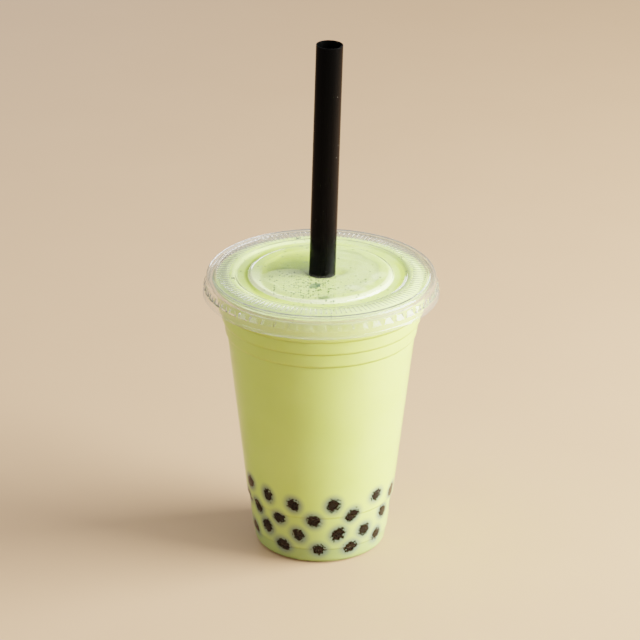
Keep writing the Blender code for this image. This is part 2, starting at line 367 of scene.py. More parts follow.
@dataclass(frozen=True)
class MilkTea:
    """Opaque milk tea behind plastic, with a grey bloom and ragged dark edges round the pearls, and painted
    shade low down.
    """

    name: str = "green_milk_tea"
    tea: Colour = (0.61, 0.74, 0.178)
    pale: Colour = (0.645, 0.77, 0.20)
    # painted shade that deepens towards the bottom of the tea
    low_shade: Colour = (0.42, 0.53, 0.17)
    # painted shade below the lowest ledge, near the floor
    foot: Colour = (0.38, 0.49, 0.15)
    bloom: Colour = (0.15, 0.20, 0.17)
    pearl: Colour = (0.006, 0.0036, 0.0015)
    swirl_size: float = 26 * MM
    # where the painted shade below the lowest ledge is full, and where it has faded out
    foot_shade_low: float = 6.5 * MM
    foot_shade_high: float = 8.3 * MM
    # where the painted shade low down starts, and how strong it gets at the bottom
    low_shade_top: float = 32 * MM
    low_shade_share: float = 0.8
    bloom_share: float = 0.9
    bloom_width: float = 3.5            # millimetres, as the gap attribute
    rag_size: float = 0.95 * MM
    rag_depth: float = 6.0              # millimetres
    edge: float = 0.08                  # millimetres
    scatter: float = 1.2 * MM

    def make(self) -> bpy.types.Material:
        """The material; it reads the gap to the nearest pearl from the piece's own attribute."""
        paint = Paint(self.name)
        gap, height = paint.attribute(PearlBed.GAP), paint.axis("Z")
        swirl = paint.clouds(self.swirl_size, detail=3.0).ramp(0.3, 0.7)
        bloom = 1.0 - gap.ramp(-0.4, self.bloom_width)
        rag = (paint.clouds(self.rag_size, detail=3.0, roughness=0.6) - 0.5) * self.rag_depth
        shown = 1.0 - (gap + rag).ramp(-self.edge, self.edge)
        return paint.done(paint.shader({
            # painted shade: darker towards the bottom, and more below the lowest ledge
            "Base Color": paint.layered(
                self.tea, (swirl, self.pale), (height.ramp(self.low_shade_top, 0.0) * self.low_shade_share, self.low_shade),
                (height.ramp(self.foot_shade_high, self.foot_shade_low), self.foot),
                (bloom * self.bloom_share, self.bloom), (shown, self.pearl)),
            "Roughness": 0.34 - shown * 0.1,
            "IOR": 1.34,
            "Specular IOR Level": 0.05,
            "Subsurface Weight": 0.25,
            "Subsurface Radius": (1.0, 0.9, 0.45),
            "Subsurface Scale": self.scatter,
        }))


@dataclass(frozen=True)
class FrothFinish:
    """Fine wet froth: a mat of tiny bubbles with a scatter of larger open ones, with painted shade and
    painted light.
    """

    name: str = "pale_froth"
    froth: Colour = (0.61, 0.765, 0.235)
    cream: Colour = (0.67, 0.81, 0.31)
    # painted light on the crown, lumps, collar and crest
    crown: Colour = (0.81, 0.93, 0.44)
    # stronger painted light at the crown's outer edge on the left
    bright: Colour = (0.96, 0.99, 0.60)
    # faint painted shade
    moss: Colour = (0.58, 0.715, 0.12)
    # painted shade in the channel and folds; also the dark green between the tiny bubbles
    deep: Colour = (0.33, 0.435, 0.055)
    # the straw's painted shadow and painted shade in the hollow
    dim: Colour = (0.18, 0.25, 0.04)
    pit: Colour = (0.05, 0.13, 0.03)
    mottle_size: float = 7 * MM
    mat_size: float = 0.7 * MM
    mat_depth: float = 0.05 * MM
    bubble_size: float = 1.05 * MM
    pit_radius: float = 0.33
    pit_share: float = 0.965            # how many cells stay closed where the froth is least open
    pit_gain: float = 0.56              # how many more open where it is most open
    scatter: float = 1.0 * MM

    def make(self) -> bpy.types.Material:
        """The material; the piece's own attributes give its painted shade and painted light, and where it is
        open.
        """
        paint = Paint(self.name)
        # the first attribute is painted shade above 0 and painted light below 0
        low, specks = paint.attribute(Froth.PAINTED_SHADING), paint.attribute(Froth.OPEN)
        mottle = paint.clouds(self.mottle_size, detail=4.0, roughness=0.6)
        mat, _ = paint.cells(self.mat_size)
        distance, cell_colour = paint.cells(self.bubble_size)
        lottery = paint.signal("ShaderNodeSeparateColor", {}, {0: cell_colour})
        core = 1.0 - distance.ramp(self.pit_radius, self.pit_radius * 1.9)
        pits = core * (lottery + specks * self.pit_gain - self.pit_share).ramp(0.0, 0.02)
        # the froth's own tones, then painted light and painted shade, then the green between tiny bubbles and
        # the open pits
        colour = paint.layered(
            self.froth, (mottle.ramp(0.25, 0.75), self.cream), (low.ramp(-0.2, -1.0), self.crown),
            (low.ramp(-1.0, -1.6), self.bright), (low.ramp(0.0, 0.4) * 0.7, self.moss),
            (low.ramp(0.15, 1.0), self.deep), (low.ramp(1.0, 1.8), self.dim),
            (mat.ramp(0.2, 0.7) * (specks * 0.32 + 0.14), self.deep), (pits * 0.85, self.pit))
        relief = paint.relief(mat, self.mat_depth, paint.relief(1.0 - pits, self.mat_depth * 4))
        return paint.done(paint.shader({
            "Base Color": colour,
            "Roughness": 0.42 - pits * 0.2,
            "IOR": 1.34,
            "Specular IOR Level": 0.5,
            "Subsurface Weight": 0.35,
            "Subsurface Radius": (1.0, 1.0, 0.6),
            "Subsurface Scale": self.scatter,
            "Normal": relief,
        }))


@dataclass(frozen=True)
class Tapioca:
    """Cooked brown tapioca: nearly black, glossy, paler where it is thin."""

    name: str = "brown_tapioca"
    core: Colour = (0.003, 0.0018, 0.0007)
    thin: Colour = (0.0055, 0.003, 0.0012)
    lump_size: float = 1.4 * MM
    lump_depth: float = 0.02 * MM

    def make(self) -> bpy.types.Material:
        """The material."""
        paint = Paint(self.name)
        lumps = paint.clouds(self.lump_size, detail=3.0, roughness=0.55)
        return paint.done(paint.shader({
            "Base Color": paint.layered(self.core, (lumps.ramp(0.35, 0.75), self.thin)),
            "Roughness": lumps * 0.2 + 0.3,
            "Specular IOR Level": 0.03,
            "Normal": paint.relief(lumps, self.lump_depth),
        }))


@dataclass(frozen=True)
class GreenPowder:
    """A wet clump of green tea powder that the froth half covers."""

    name: str = "green_tea_clump"
    dark: Colour = (0.008, 0.045, 0.016)
    froth: Colour = (0.21, 0.33, 0.11)
    grain: float = 1.3 * MM
    dark_side: float = -2.3 * MM            # it gets darker to the right of this place
    darkening: float = 70.0                 # for each metre

    def make(self) -> bpy.types.Material:
        """The material."""
        paint = Paint(self.name)
        grain = paint.clouds(self.grain, detail=4.0, roughness=0.6)
        pale = (grain - (paint.axis("X") - self.dark_side) * self.darkening).ramp(0.38, 0.60)
        return paint.done(paint.shader({
            "Base Color": paint.layered(self.dark, (pale, self.froth)),
            "Roughness": grain * 0.2 + 0.3,
            "Normal": paint.relief(grain, 0.1 * MM),
        }))


@dataclass(frozen=True)
class FloorFinish:
    """A plain pale warm surface with a faint unevenness."""

    name: str = "pale_floor"
    light: Colour = (0.73, 0.45, 0.265)
    shade: Colour = (0.69, 0.42, 0.245)

    def make(self) -> bpy.types.Material:
        """The material."""
        paint = Paint(self.name)
        return paint.done(paint.shader({
            "Base Color": paint.layered(self.light, (paint.clouds(60 * MM, detail=3.0), self.shade)),
            "Roughness": 0.6,
        }))


class Piece:
    """A mesh on the bench: Blender's operators shape it, and then it takes its place on the frame."""

    def __init__(self, name: str) -> None:
        """Takes over the primitive that was added last.

        Args:
            name: the piece's name.
        """
        self.thing = bpy.context.active_object
        self.thing.name = name
        self.thing.data.name = name
        bpy.ops.object.transform_apply(location=True, rotation=True, scale=True)

    def alone(self) -> None:
        """Makes this piece the only one selected, and the active one."""
        bpy.ops.object.select_all(action="DESELECT")
        self.thing.select_set(True)
        bpy.context.view_layer.objects.active = self.thing

    @contextmanager
    def editing(self, pick: Pick) -> Iterator[None]:
        """Edit mode on this piece, with nothing selected at first.

        Args:
            pick: what is selected in it.
        """
        self.alone()
        bpy.ops.object.mode_set(mode="EDIT")
        bpy.ops.mesh.select_mode(type=pick.value)
        bpy.ops.mesh.select_all(action="DESELECT")
        yield
        bpy.ops.object.mode_set(mode="OBJECT")

    def choose(self, pick: Pick, chosen: Callable[[Vector, Vector], bool]) -> None:
        """Selects in edit mode.

        Args:
            pick: vertices or faces.
            chosen: says from a place and a normal whether that one is selected.
        """
        bpy.ops.mesh.select_all(action="DESELECT")
        mesh = bmesh.from_edit_mesh(self.thing.data)
        if pick is Pick.FACE:
            for face in mesh.faces:
                face.select_set(chosen(face.calc_center_median(), face.normal))
        else:
            for vertex in mesh.verts:
                vertex.select_set(chosen(vertex.co, vertex.normal))
        mesh.select_flush_mode()
        bmesh.update_edit_mesh(self.thing.data)

    def modify(self, kind: str, **settings: Any) -> None:
        """Adds a modifier and applies it.

        Args:
            kind: the modifier's type.
            settings: its settings.
        """
        self.alone()
        modifier = self.thing.modifiers.new(kind, kind)
        for key, value in settings.items():
            setattr(modifier, key, value)
        bpy.ops.object.modifier_apply(modifier=modifier.name)

    def move(self, rule: Callable[[Vector], Vector]) -> None:
        """Moves every vertex to where a rule puts it."""
        for vertex in self.thing.data.vertices:
            vertex.co = rule(vertex.co)
        self.thing.data.update()

    def mark(self, name: str, rule: Callable[[Vector], float]) -> None:
        """Stores a number for each vertex, for the material to read.

        Args:
            name: the attribute's name.
            rule: gives the number at a place.
        """
        field = self.thing.data.attributes.new(name, "FLOAT", "POINT")
        field.data.foreach_set("value", [rule(v.co) for v in self.thing.data.vertices])

    def smooth(self, degrees: float) -> None:
        """Shades smooth, apart from edges sharper than an angle in degrees."""
        self.alone()
        bpy.ops.object.shade_smooth_by_angle(angle=math.radians(degrees))

    def fit(self, finish: bpy.types.Material, slot: Slot, *nodes: str) -> None:
        """Dresses the piece and puts it on the frame.

        Args:
            finish: its material.
            slot: the slot that the material belongs to; it is not used.
            nodes: the CAD nodes that it stands for.
        """
        self.thing.data.materials.clear()
        self.thing.data.materials.append(finish)
        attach(self.thing, BODY)
        if nodes:
            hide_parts(*nodes)
        log.info("%s: %d faces", self.thing.name, len(self.thing.data.polygons))


@dataclass(frozen=True)
class Corner:
    """A corner of a turned outline."""

    out: float                  # from the axis, in metres
    up: float                   # above the foot, in metres
    rounding: float = 0.0       # how far the rounding starts from the corner, in metres
    steps: int = 4

    def place(self) -> Vector:
        """The corner on the +X side."""
        return Vector((self.out, 0.0, self.up))


def bend(centre: Corner, radius: float, start: float, end: float, count: int,
         flatness: float = 1.0) -> list[Corner]:
    """Corners on an arc.

    Args:
        centre: its centre.
        radius: its radius.
        start: its first angle, in degrees from straight out, growing upwards.
        end: its last angle.
        count: how many corners.
        flatness: its height as a share of its width.

    Returns:
        The corners, from start to end.
    """
    angles = [math.radians(start + (end - start) * i / (count - 1)) for i in range(count)]
    return [Corner(centre.out + radius * math.cos(angle), centre.up + radius * flatness * math.sin(angle))
            for angle in angles]


def turned(name: str, corners: Sequence[Corner], steps: int, facing: float = 0.0) -> Piece:
    """Draws an outline vertex by vertex, rounds its corners and spins it about the upright axis.

    Args:
        name: the piece's name.
        corners: the outline.
        steps: how many steps the spin has.
        facing: for an open sheet, 1 if the faces nearest the axis look up, or -1 if they look down.

    Returns:
        The piece, with its faces pointing outwards.
    """
    bpy.ops.mesh.primitive_plane_add(size=MM, location=corners[0].place())
    piece = Piece(name)
    with piece.editing(Pick.VERT):
        bpy.ops.mesh.select_all(action="SELECT")
        bpy.ops.mesh.merge(type="CENTER")
        for before, after in zip(corners, corners[1:]):
            step = after.place() - before.place()
            bpy.ops.mesh.extrude_vertices_move(TRANSFORM_OT_translate={"value": step})
        for corner in corners:
            if corner.rounding > 0.0:
                at = corner.place()
                piece.choose(Pick.VERT, lambda place, _: (place - at).length < MERGE_DISTANCE)
                bpy.ops.mesh.bevel(offset=corner.rounding, segments=corner.steps, affect="VERTICES")
        bpy.ops.mesh.select_all(action="SELECT")
        bpy.ops.mesh.spin(steps=steps, angle=math.tau, center=(0, 0, 0), axis=(0, 0, 1))
        bpy.ops.mesh.select_all(action="SELECT")
        bpy.ops.mesh.remove_doubles(threshold=MERGE_DISTANCE)
        bpy.ops.mesh.normals_make_consistent(inside=False)
        nearest = min(bmesh.from_edit_mesh(piece.thing.data).faces,
                      key=lambda face: face.calc_center_median().xy.length)
        if nearest.normal.z * facing < 0.0:
            bpy.ops.mesh.flip_normals()
    return piece


@dataclass(frozen=True)
class Ledge:
    """A step in the cup's wall: its foot and how far the wall moves out there."""

    foot: float
    step: float


@dataclass(frozen=True)
class Cup:
    """The clear thermoformed cup: stepped wall, curled rim, rounded corner, foot ring and recessed base."""

    wall: float = 0.6 * MM
    foot_radius: float = 28.4 * MM          # the wall's straight line, carried down to the table
    draft: float = 0.113                    # radius gained for each unit of height
    ledges: tuple[Ledge, ...] = (Ledge(7.1 * MM, 0.45 * MM), Ledge(23.3 * MM, 0.6 * MM),
                                 Ledge(99.5 * MM, 0.75 * MM), Ledge(105.9 * MM, 0.75 * MM),
                                 Ledge(112.2 * MM, 0.75 * MM))
    ledge_rise: float = 1.4 * MM
    ledge_points: int = 9
    groove: float = 0.15 * MM               # at the foot of each ledge
    groove_width: float = 0.3 * MM
    corner: float = 2.2 * MM
    ring_inner: float = 23.93 * MM
    recess: float = 1.6 * MM
    recess_slope: float = 1.0 * MM
    wall_top: float = 123.0 * MM
    rim: Corner = Corner(47.2 * MM, 124.1 * MM)
    rim_roll: float = 1.35 * MM
    steps: int = 200

    def radius(self, height: float) -> float:
        """Outer radius of the wall at a height."""
        steps = sum(ledge.step * self.swung(height - ledge.foot)
                    - self.groove * swell(height - ledge.foot, self.groove_width) for ledge in self.ledges)
        return self.foot_radius + self.draft * height + steps

    def swung(self, above: float) -> float:
        """How far a ledge has swung out at a height above its foot: sharp at the foot and soft at the top."""
        return 1.0 - (1.0 - min(max(above / self.ledge_rise, 0.0), 1.0)) ** 3

    def inside(self, height: float, sink: float = 0.0) -> float:
        """Inner radius of the wall at a height, or of a surface that lies sink deep in the wall."""
        return self.radius(height) - self.wall + sink

    def heights(self, low: float, high: float, spacing: float) -> list[float]:
        """The heights that a wall's outline needs.

        Args:
            low: the first height.
            high: the last height.
            spacing: the most that two of them may be apart.

        Returns:
            The heights, upwards.
        """
        turns = [ledge.foot + self.ledge_rise * i / (self.ledge_points - 1)
                 for ledge in self.ledges for i in range(-3, self.ledge_points)]
        fixed = [low] + [h for h in turns if low < h < high] + [high]
        found = [low]
        for before, after in zip(fixed, fixed[1:]):
            parts = max(1, math.ceil((after - before) / spacing))
            found += [before + (after - before) * i / parts for i in range(1, parts + 1)]
        return found

    def lining(self, sink: float, top: float, spacing: float) -> list[Corner]:
        """The outline of the cup's hollow, from the middle of its floor up its wall.

        Args:
            sink: how deep in the wall the outline lies.
            top: the height where it ends.
            spacing: the most that two corners on the wall may be apart.

        Returns:
            The corners.
        """
        floor = self.recess + self.wall - sink
        ring = self.wall - sink
        start = ring + self.corner * 2
        found = [Corner(0.0, floor),
                 Corner(self.ring_inner - self.recess_slope + sink, floor, 0.5 * MM),
                 Corner(self.ring_inner + self.wall / 2 + sink, ring, 0.4 * MM),
                 Corner(self.inside(0.0, sink), ring, self.corner, 8)]
        return found + [Corner(self.inside(h, sink), h) for h in self.heights(start, top, spacing)]

    def build(self, finish: bpy.types.Material) -> None:
        """Makes the cup.

        Args:
            finish: its material.
        """
        outline = self.lining(0.0, self.wall_top, 6 * MM) + bend(self.rim, self.rim_roll, 180, -130, 17)
        cup = turned("cup_shell", outline, self.steps, facing=-1.0)
        cup.modify("SOLIDIFY", thickness=self.wall, offset=1.0, use_even_offset=True)
        cup.smooth(50)
        cup.fit(finish, Slot.CUP, "cup")


@dataclass(frozen=True)
class Lid:
    """The clear lid: raised panel, channel, ribbed plate, ridge over the rim, skirt with lugs, flared lip."""

    MILKINESS_AND_HIGHLIGHT = "lid_milkiness_and_highlight"

    sheet: float = 0.5 * MM
    hole: float = 6.5 * MM
    panel: float = 31.2 * MM
    panel_top: float = 126.8 * MM
    shoulder: float = 2.4 * MM              # width of the panel's rounded edge
    shoulder_flatness: float = 0.60
    channel_floor: float = 125.2 * MM
    channel: float = 37.1 * MM
    turning: float = 0.5 * MM               # rounding of the channel's corners
    plate_edge: float = 0.6 * MM            # from the channel's edge to where the flat plate starts
    plate_top: float = 126.3 * MM
    rib_inner: float = 39.4 * MM
    rib_outer: float = 45.1 * MM
    ribs: int = 130
    rib_rise: float = 0.26 * MM
    rib_end: float = 0.5 * MM               # length of each end's slope
    ridge: Corner = Corner(47.7 * MM, 124.8 * MM)
    ridge_roll: float = 1.8 * MM
    skirt_draft: float = 0.09
    lugs: int = 52
    lug_top: float = 123.0 * MM
    lug_foot: float = 120.4 * MM
    lug_rise: float = 0.85 * MM             # at its foot
    lug_slope: float = 0.20 * MM
    lug_taper: float = 0.42
    lug_share: float = 0.41                 # half a lug's width, as a share of the way to the next
    lug_margin: float = 0.5 * MM
    lip_top: float = 118.1 * MM
    lip_foot: float = 117.4 * MM
    bite: float = 0.15 * MM                 # how far the hole's edge reaches into the straw
    milk_top: float = 0.015                 # how milky the sheet is on its flat top
    # the extra milk on the rib crests, the ridge and the skirt is partly haze and partly painted highlight
    rib_milk_and_highlight: float = 0.11
    skirt_milk_and_highlight: float = 0.055
    pips: tuple[float, ...] = (-79.0, 115.5, -165.0)      # azimuths in degrees
    pip_half_width: float = 1.1 * MM
    pip_slope: float = 0.33 * MM
    pip_rise: float = 0.5 * MM
    steps: int = 520

    def skirt(self, height: float) -> float:
        """Outer radius of the skirt at a height."""
        return self.ridge.out + self.ridge_roll + self.skirt_draft * (self.ridge.up - height)

    def outline(self) -> list[Corner]:
        """The upper surface, from the straw hole to the lip."""
        rise, low = self.plate_top - self.channel_floor, self.shoulder * self.shoulder_flatness
        ribs = (self.rib_inner, self.rib_inner + self.rib_end, self.rib_outer - self.rib_end, self.rib_outer)
        lugs = (self.lug_top + self.lug_margin, self.lug_top, self.lug_foot, self.lug_foot - self.lug_margin)
        return [Corner(self.hole, self.panel_top), Corner(self.hole + MM, self.panel_top),
                *bend(Corner(self.panel - self.shoulder, self.panel_top - low), self.shoulder, 90, 18, 12,
                      self.shoulder_flatness),
                Corner(self.panel + 0.1 * MM, self.channel_floor, self.turning),
                Corner(self.channel - rise, self.channel_floor, self.turning),
                Corner(self.channel, self.plate_top, self.turning),
                Corner(self.channel + self.plate_edge, self.plate_top),
                *(Corner(out, self.plate_top) for out in ribs),
                *bend(self.ridge, self.ridge_roll, 130, 0, 14),
                *(Corner(self.skirt(height), height) for height in lugs),
                Corner(self.skirt(self.lip_top), self.lip_top, 0.3 * MM),
                Corner(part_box("lid")[1].y, self.lip_foot)]

    def share(self, place: Vector, count: int) -> float:
        """How far a place is through the nearest of count equal parts of a turn, from -0.5 to 0.5."""
        part = around(place) / math.tau * count
        return part - round(part)

    def wave(self, place: Vector) -> float:
        """How high the ribbed plate stands above its valleys at a place."""
        ends = band(place.xy.length, self.rib_inner, self.rib_inner + self.rib_end,
                    self.rib_outer - self.rib_end, self.rib_outer)
        return self.rib_rise * ends * (0.5 + 0.5 * math.cos(math.tau * self.share(place, self.ribs)))

    def ripple(self, place: Vector) -> Vector:
        """Lifts the ribs out of the plate."""
        if not self.rib_inner < place.xy.length < self.rib_outer:
            return place
        return place + Vector((0, 0, self.wave(place)))

    def slope(self, place: Vector) -> Vector:
        """Makes a wedge of a raised lug: its top edge goes back to the skirt and in towards its middle."""
        middle = (self.lug_top + self.lug_foot) / 2
        raised = place.xy.length - self.skirt(place.z)
        if raised < self.lug_rise / 2 or not middle < place.z < self.lug_top:
            return place
        turn = self.share(place, self.lugs) * math.tau / self.lugs * self.lug_taper
        level = Vector((place.x, place.y, 0.0)).normalized() * (self.skirt(place.z) + self.lug_slope / 4)
        return Matrix.Rotation(-turn, 3, "Z") @ (level + Vector((0, 0, place.z)))

    def hug(self, place: Vector, straw: Straw) -> Vector:
        """Draws the hole's edge in until it just bites into the straw."""
        if place.xy.length > self.hole + 0.1 * MM:
            return place
        return straw.axis_at(place.z) + bearing(around(place)) * (straw.radius - self.bite)

    def milkiness_and_highlight(self, place: Vector) -> float:
        """How milky the sheet is at a place: the ribs, ridge and skirt more than the flat top. The extra milk
        on the rib crests, ridge and skirt is partly the sheet's haze and partly painted highlight.
        """
        out = place.xy.length
        if self.rib_inner < out < self.rib_outer:
            return self.milk_top + (self.rib_milk_and_highlight - self.milk_top) * self.wave(place) / self.rib_rise
        return self.milk_top + (self.skirt_milk_and_highlight - self.milk_top) * ease(out, self.rib_outer, self.ridge.out)

    def build(self, finish: bpy.types.Material, straw: Straw) -> None:
        """Makes the lid.

        Args:
            finish: its material.
            straw: the straw, which the hole closes round.
        """
        lid = turned("lid_shell", self.outline(), self.steps, facing=1.0)
        plate = self.channel + self.plate_edge
        with lid.editing(Pick.FACE):
            lid.choose(Pick.FACE, lambda place, _: self.lug_foot < place.z < self.lug_top
                       and abs(self.share(place, self.lugs)) < self.lug_share)
            bpy.ops.mesh.inset(thickness=self.lug_slope, depth=self.lug_rise)
            lid.choose(Pick.FACE, lambda place, _: plate < place.xy.length < self.rib_inner and any(
                (place.xy - bearing(math.radians(pip)).xy * place.xy.length).length < self.pip_half_width
                for pip in self.pips))
            bpy.ops.mesh.inset(thickness=self.pip_slope, depth=self.pip_rise)
        for rule in (self.ripple, self.slope, lambda place: self.hug(place, straw)):
            lid.move(rule)
        lid.modify("SOLIDIFY", thickness=self.sheet, offset=-1.0, use_even_offset=True)
        lid.mark(self.MILKINESS_AND_HIGHLIGHT, self.milkiness_and_highlight)
        lid.smooth(20)
        lid.fit(finish, Slot.LID, "lid")


@dataclass(frozen=True)
class Straw:
    """The wide black straw, which leans to the right."""

    radius: float = 5.75 * MM
    wall: float = 0.5 * MM
    foot: Vector = Vector((-2.68, 0.0, 3.6)) * MM
    top: Vector = Vector((3.04, 0.0, 229.8)) * MM
    lip: float = 0.12 * MM
    steps: int = 96

    def axis_at(self, height: float) -> Vector:
        """The middle of the straw at a height."""
        return self.foot.lerp(self.top, (height - self.foot.z) / (self.top.z - self.foot.z))

    def build(self, finish: bpy.types.Material) -> None:
        """Makes the straw.

        Args:
            finish: its material.
        """
        length = (self.top - self.foot).length
        inner = self.radius - self.wall
        ends = ((inner, length), (self.radius, length), (self.radius, 0.0), (inner, 0.0))
        start = Corner(inner, length / 2)
        corners = [start, *(Corner(out, up, self.lip, 3) for out, up in ends), start]
        straw = turned("straw_tube", corners, self.steps)
        lean = Vector((0, 0, 1)).rotation_difference(self.top - self.foot).to_matrix()
        straw.move(lambda place: lean @ place + self.foot)
        straw.smooth(50)
        straw.fit(finish, Slot.STRAW, "straw")


@dataclass(frozen=True)
class Patch:
    """The oval patch where a pearl presses on the wall."""

    node: str
    centre: Vector              # of the pearl
    middle: Vector              # of the patch, on the tea's surface
    across: Vector
    upward: Vector
    long: float
    short: float
    turn: float

    def reach(self, place: Vector) -> float:
        """How far a place is from the patch's middle, where 1 is the edge of the patch."""
        away = place - self.middle
        x, y = away.dot(self.across), away.dot(self.upward)
        u = x * math.cos(self.turn) + y * math.sin(self.turn)
        v = y * math.cos(self.turn) - x * math.sin(self.turn)
        return math.hypot(u / self.long, v / self.short)

    def gap(self, place: Vector) -> float:
        """The gap from a place on the wall to the patch's edge, in millimetres, below 0 inside it."""
        return (self.reach(place) - 1.0) * (self.long + self.short) / 2 / MM


@dataclass(frozen=True)
class PearlBed:
    """The tapioca pearls along the wall, each pressed flat where it touches the plastic."""

    GAP = "pearl_gap"

    cup: Cup
    sink: float
    poke: float = 0.05 * MM             # how far a patch stands out of the tea
    patch: float = 2.92 * MM            # mean radius of a patch
    patch_spread: float = 0.07
    squash: float = 0.10
    lump_size: float = 2.6 * MM
    lump_depth: float = 0.5 * MM
    segments: int = 28
    rings: int = 18
    far: float = 9.0                    # millimetres, the most that the gap attribute says
    seed: int = 5

    def patch_of(self, node: str, draw: random.Random) -> Patch:
        """The patch of one pearl.

        Args:
            node: the pearl's CAD node.
            draw: gives its size, squash and turn.

        Returns:
            The patch.
        """
        low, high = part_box(node)
        centre = (low + high) / 2
        out = bearing(around(centre))
        middle = out * self.cup.inside(centre.z, self.sink) + Vector((0, 0, centre.z))
        upward = (out * self.cup.draft + Vector((0, 0, 1))).normalized()
        size = self.patch * (1.0 + draw.uniform(-1, 1) * self.patch_spread)
        squash = 1.0 + draw.uniform(0.2, 1) * self.squash
        return Patch(node, centre, middle, upward.cross(out), upward, size * squash, size / squash,
                     draw.uniform(0, math.pi))

    def gap(self, place: Vector, patches: Sequence[Patch]) -> float:
        """The gap from a place on the tea's side to the nearest patch, in millimetres."""
        near = [patch.gap(place) for patch in patches if (patch.middle - place).length < self.far * MM]
        return min(near, default=self.far)

    def press(self, place: Vector, patch: Patch) -> Vector:
        """Keeps a point of a pearl inside the wall: at its patch it stands a little out of the tea."""
        dome = self.poke * (1.0 - 1.9 * patch.reach(place) ** 2)
        most = self.cup.inside(place.z, self.sink) + dome
        if place.xy.length <= most:
            return place
        return Vector((*(place.xy.normalized() * most), place.z))

    def build(self, finish: bpy.types.Material, patches: Sequence[Patch]) -> None:
        """Makes the pearls.

        Args:
            finish: their material.
            patches: their patches.
        """
        lumps = bpy.data.textures.new("pearl_lumps", "CLOUDS")
        lumps.noise_scale = self.lump_size
        for number, patch in enumerate(patches, start=1):
            low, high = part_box(patch.node)
            bpy.ops.mesh.primitive_uv_sphere_add(segments=self.segments, ring_count=self.rings,
                                                 radius=(high.z - low.z) / 2, location=patch.centre)
            pearl = Piece(f"tapioca_{number:02d}")
            pearl.modify("DISPLACE", texture=lumps, texture_coords="GLOBAL", strength=self.lump_depth,
                         mid_level=0.5)
            pearl.move(lambda place, patch=patch: self.press(place, patch))
            pearl.smooth(60)
            pearl.fit(finish, Slot.PEARL, patch.node)


@dataclass(frozen=True)
class Tea:
    """The milk tea, which reaches just into the wall so that no air shows."""

    cup: Cup
    sink: float
    level: float = 121.2 * MM
    pearl_top: float = 37 * MM
    fine: float = 0.6 * MM
    coarse: float = 4 * MM
    steps: int = 260

    def outline(self) -> list[Corner]:
        """From the middle of the floor, up the side and over the level."""
        low = self.cup.lining(self.sink, self.pearl_top, self.fine)
        high = [Corner(self.cup.inside(h, self.sink), h)
                for h in self.cup.heights(self.pearl_top, self.level, self.coarse)][1:]
        return low + high + [Corner(0.0, self.level)]

    def build(self, finish: bpy.types.Material, bed: PearlBed, patches: Sequence[Patch]) -> None:
        """Makes the tea.

        Args:
            finish: its material.
            bed: the pearls in it.
            patches: where they press on the wall.
        """
        tea = turned("milk_tea", self.outline(), self.steps)
        tea.mark(PearlBed.GAP, lambda place: bed.gap(place, patches))
        tea.smooth(60)
        tea.fit(finish, Slot.TEA, "drink")


@dataclass(frozen=True)
class Bell:
    """A smooth rise from 0 to its height over a spot; all but the height is in millimetres."""

    x: float
    y: float
    width: float
    length: float               # from front to back
    height: float = 1.0

    def at(self, place: Vector) -> float:
        """How high it is at a place."""
        across, along = (place.x / MM - self.x) / self.width, (place.y / MM - self.y) / self.length
        return self.height * swell(math.hypot(across, along), 1.0)


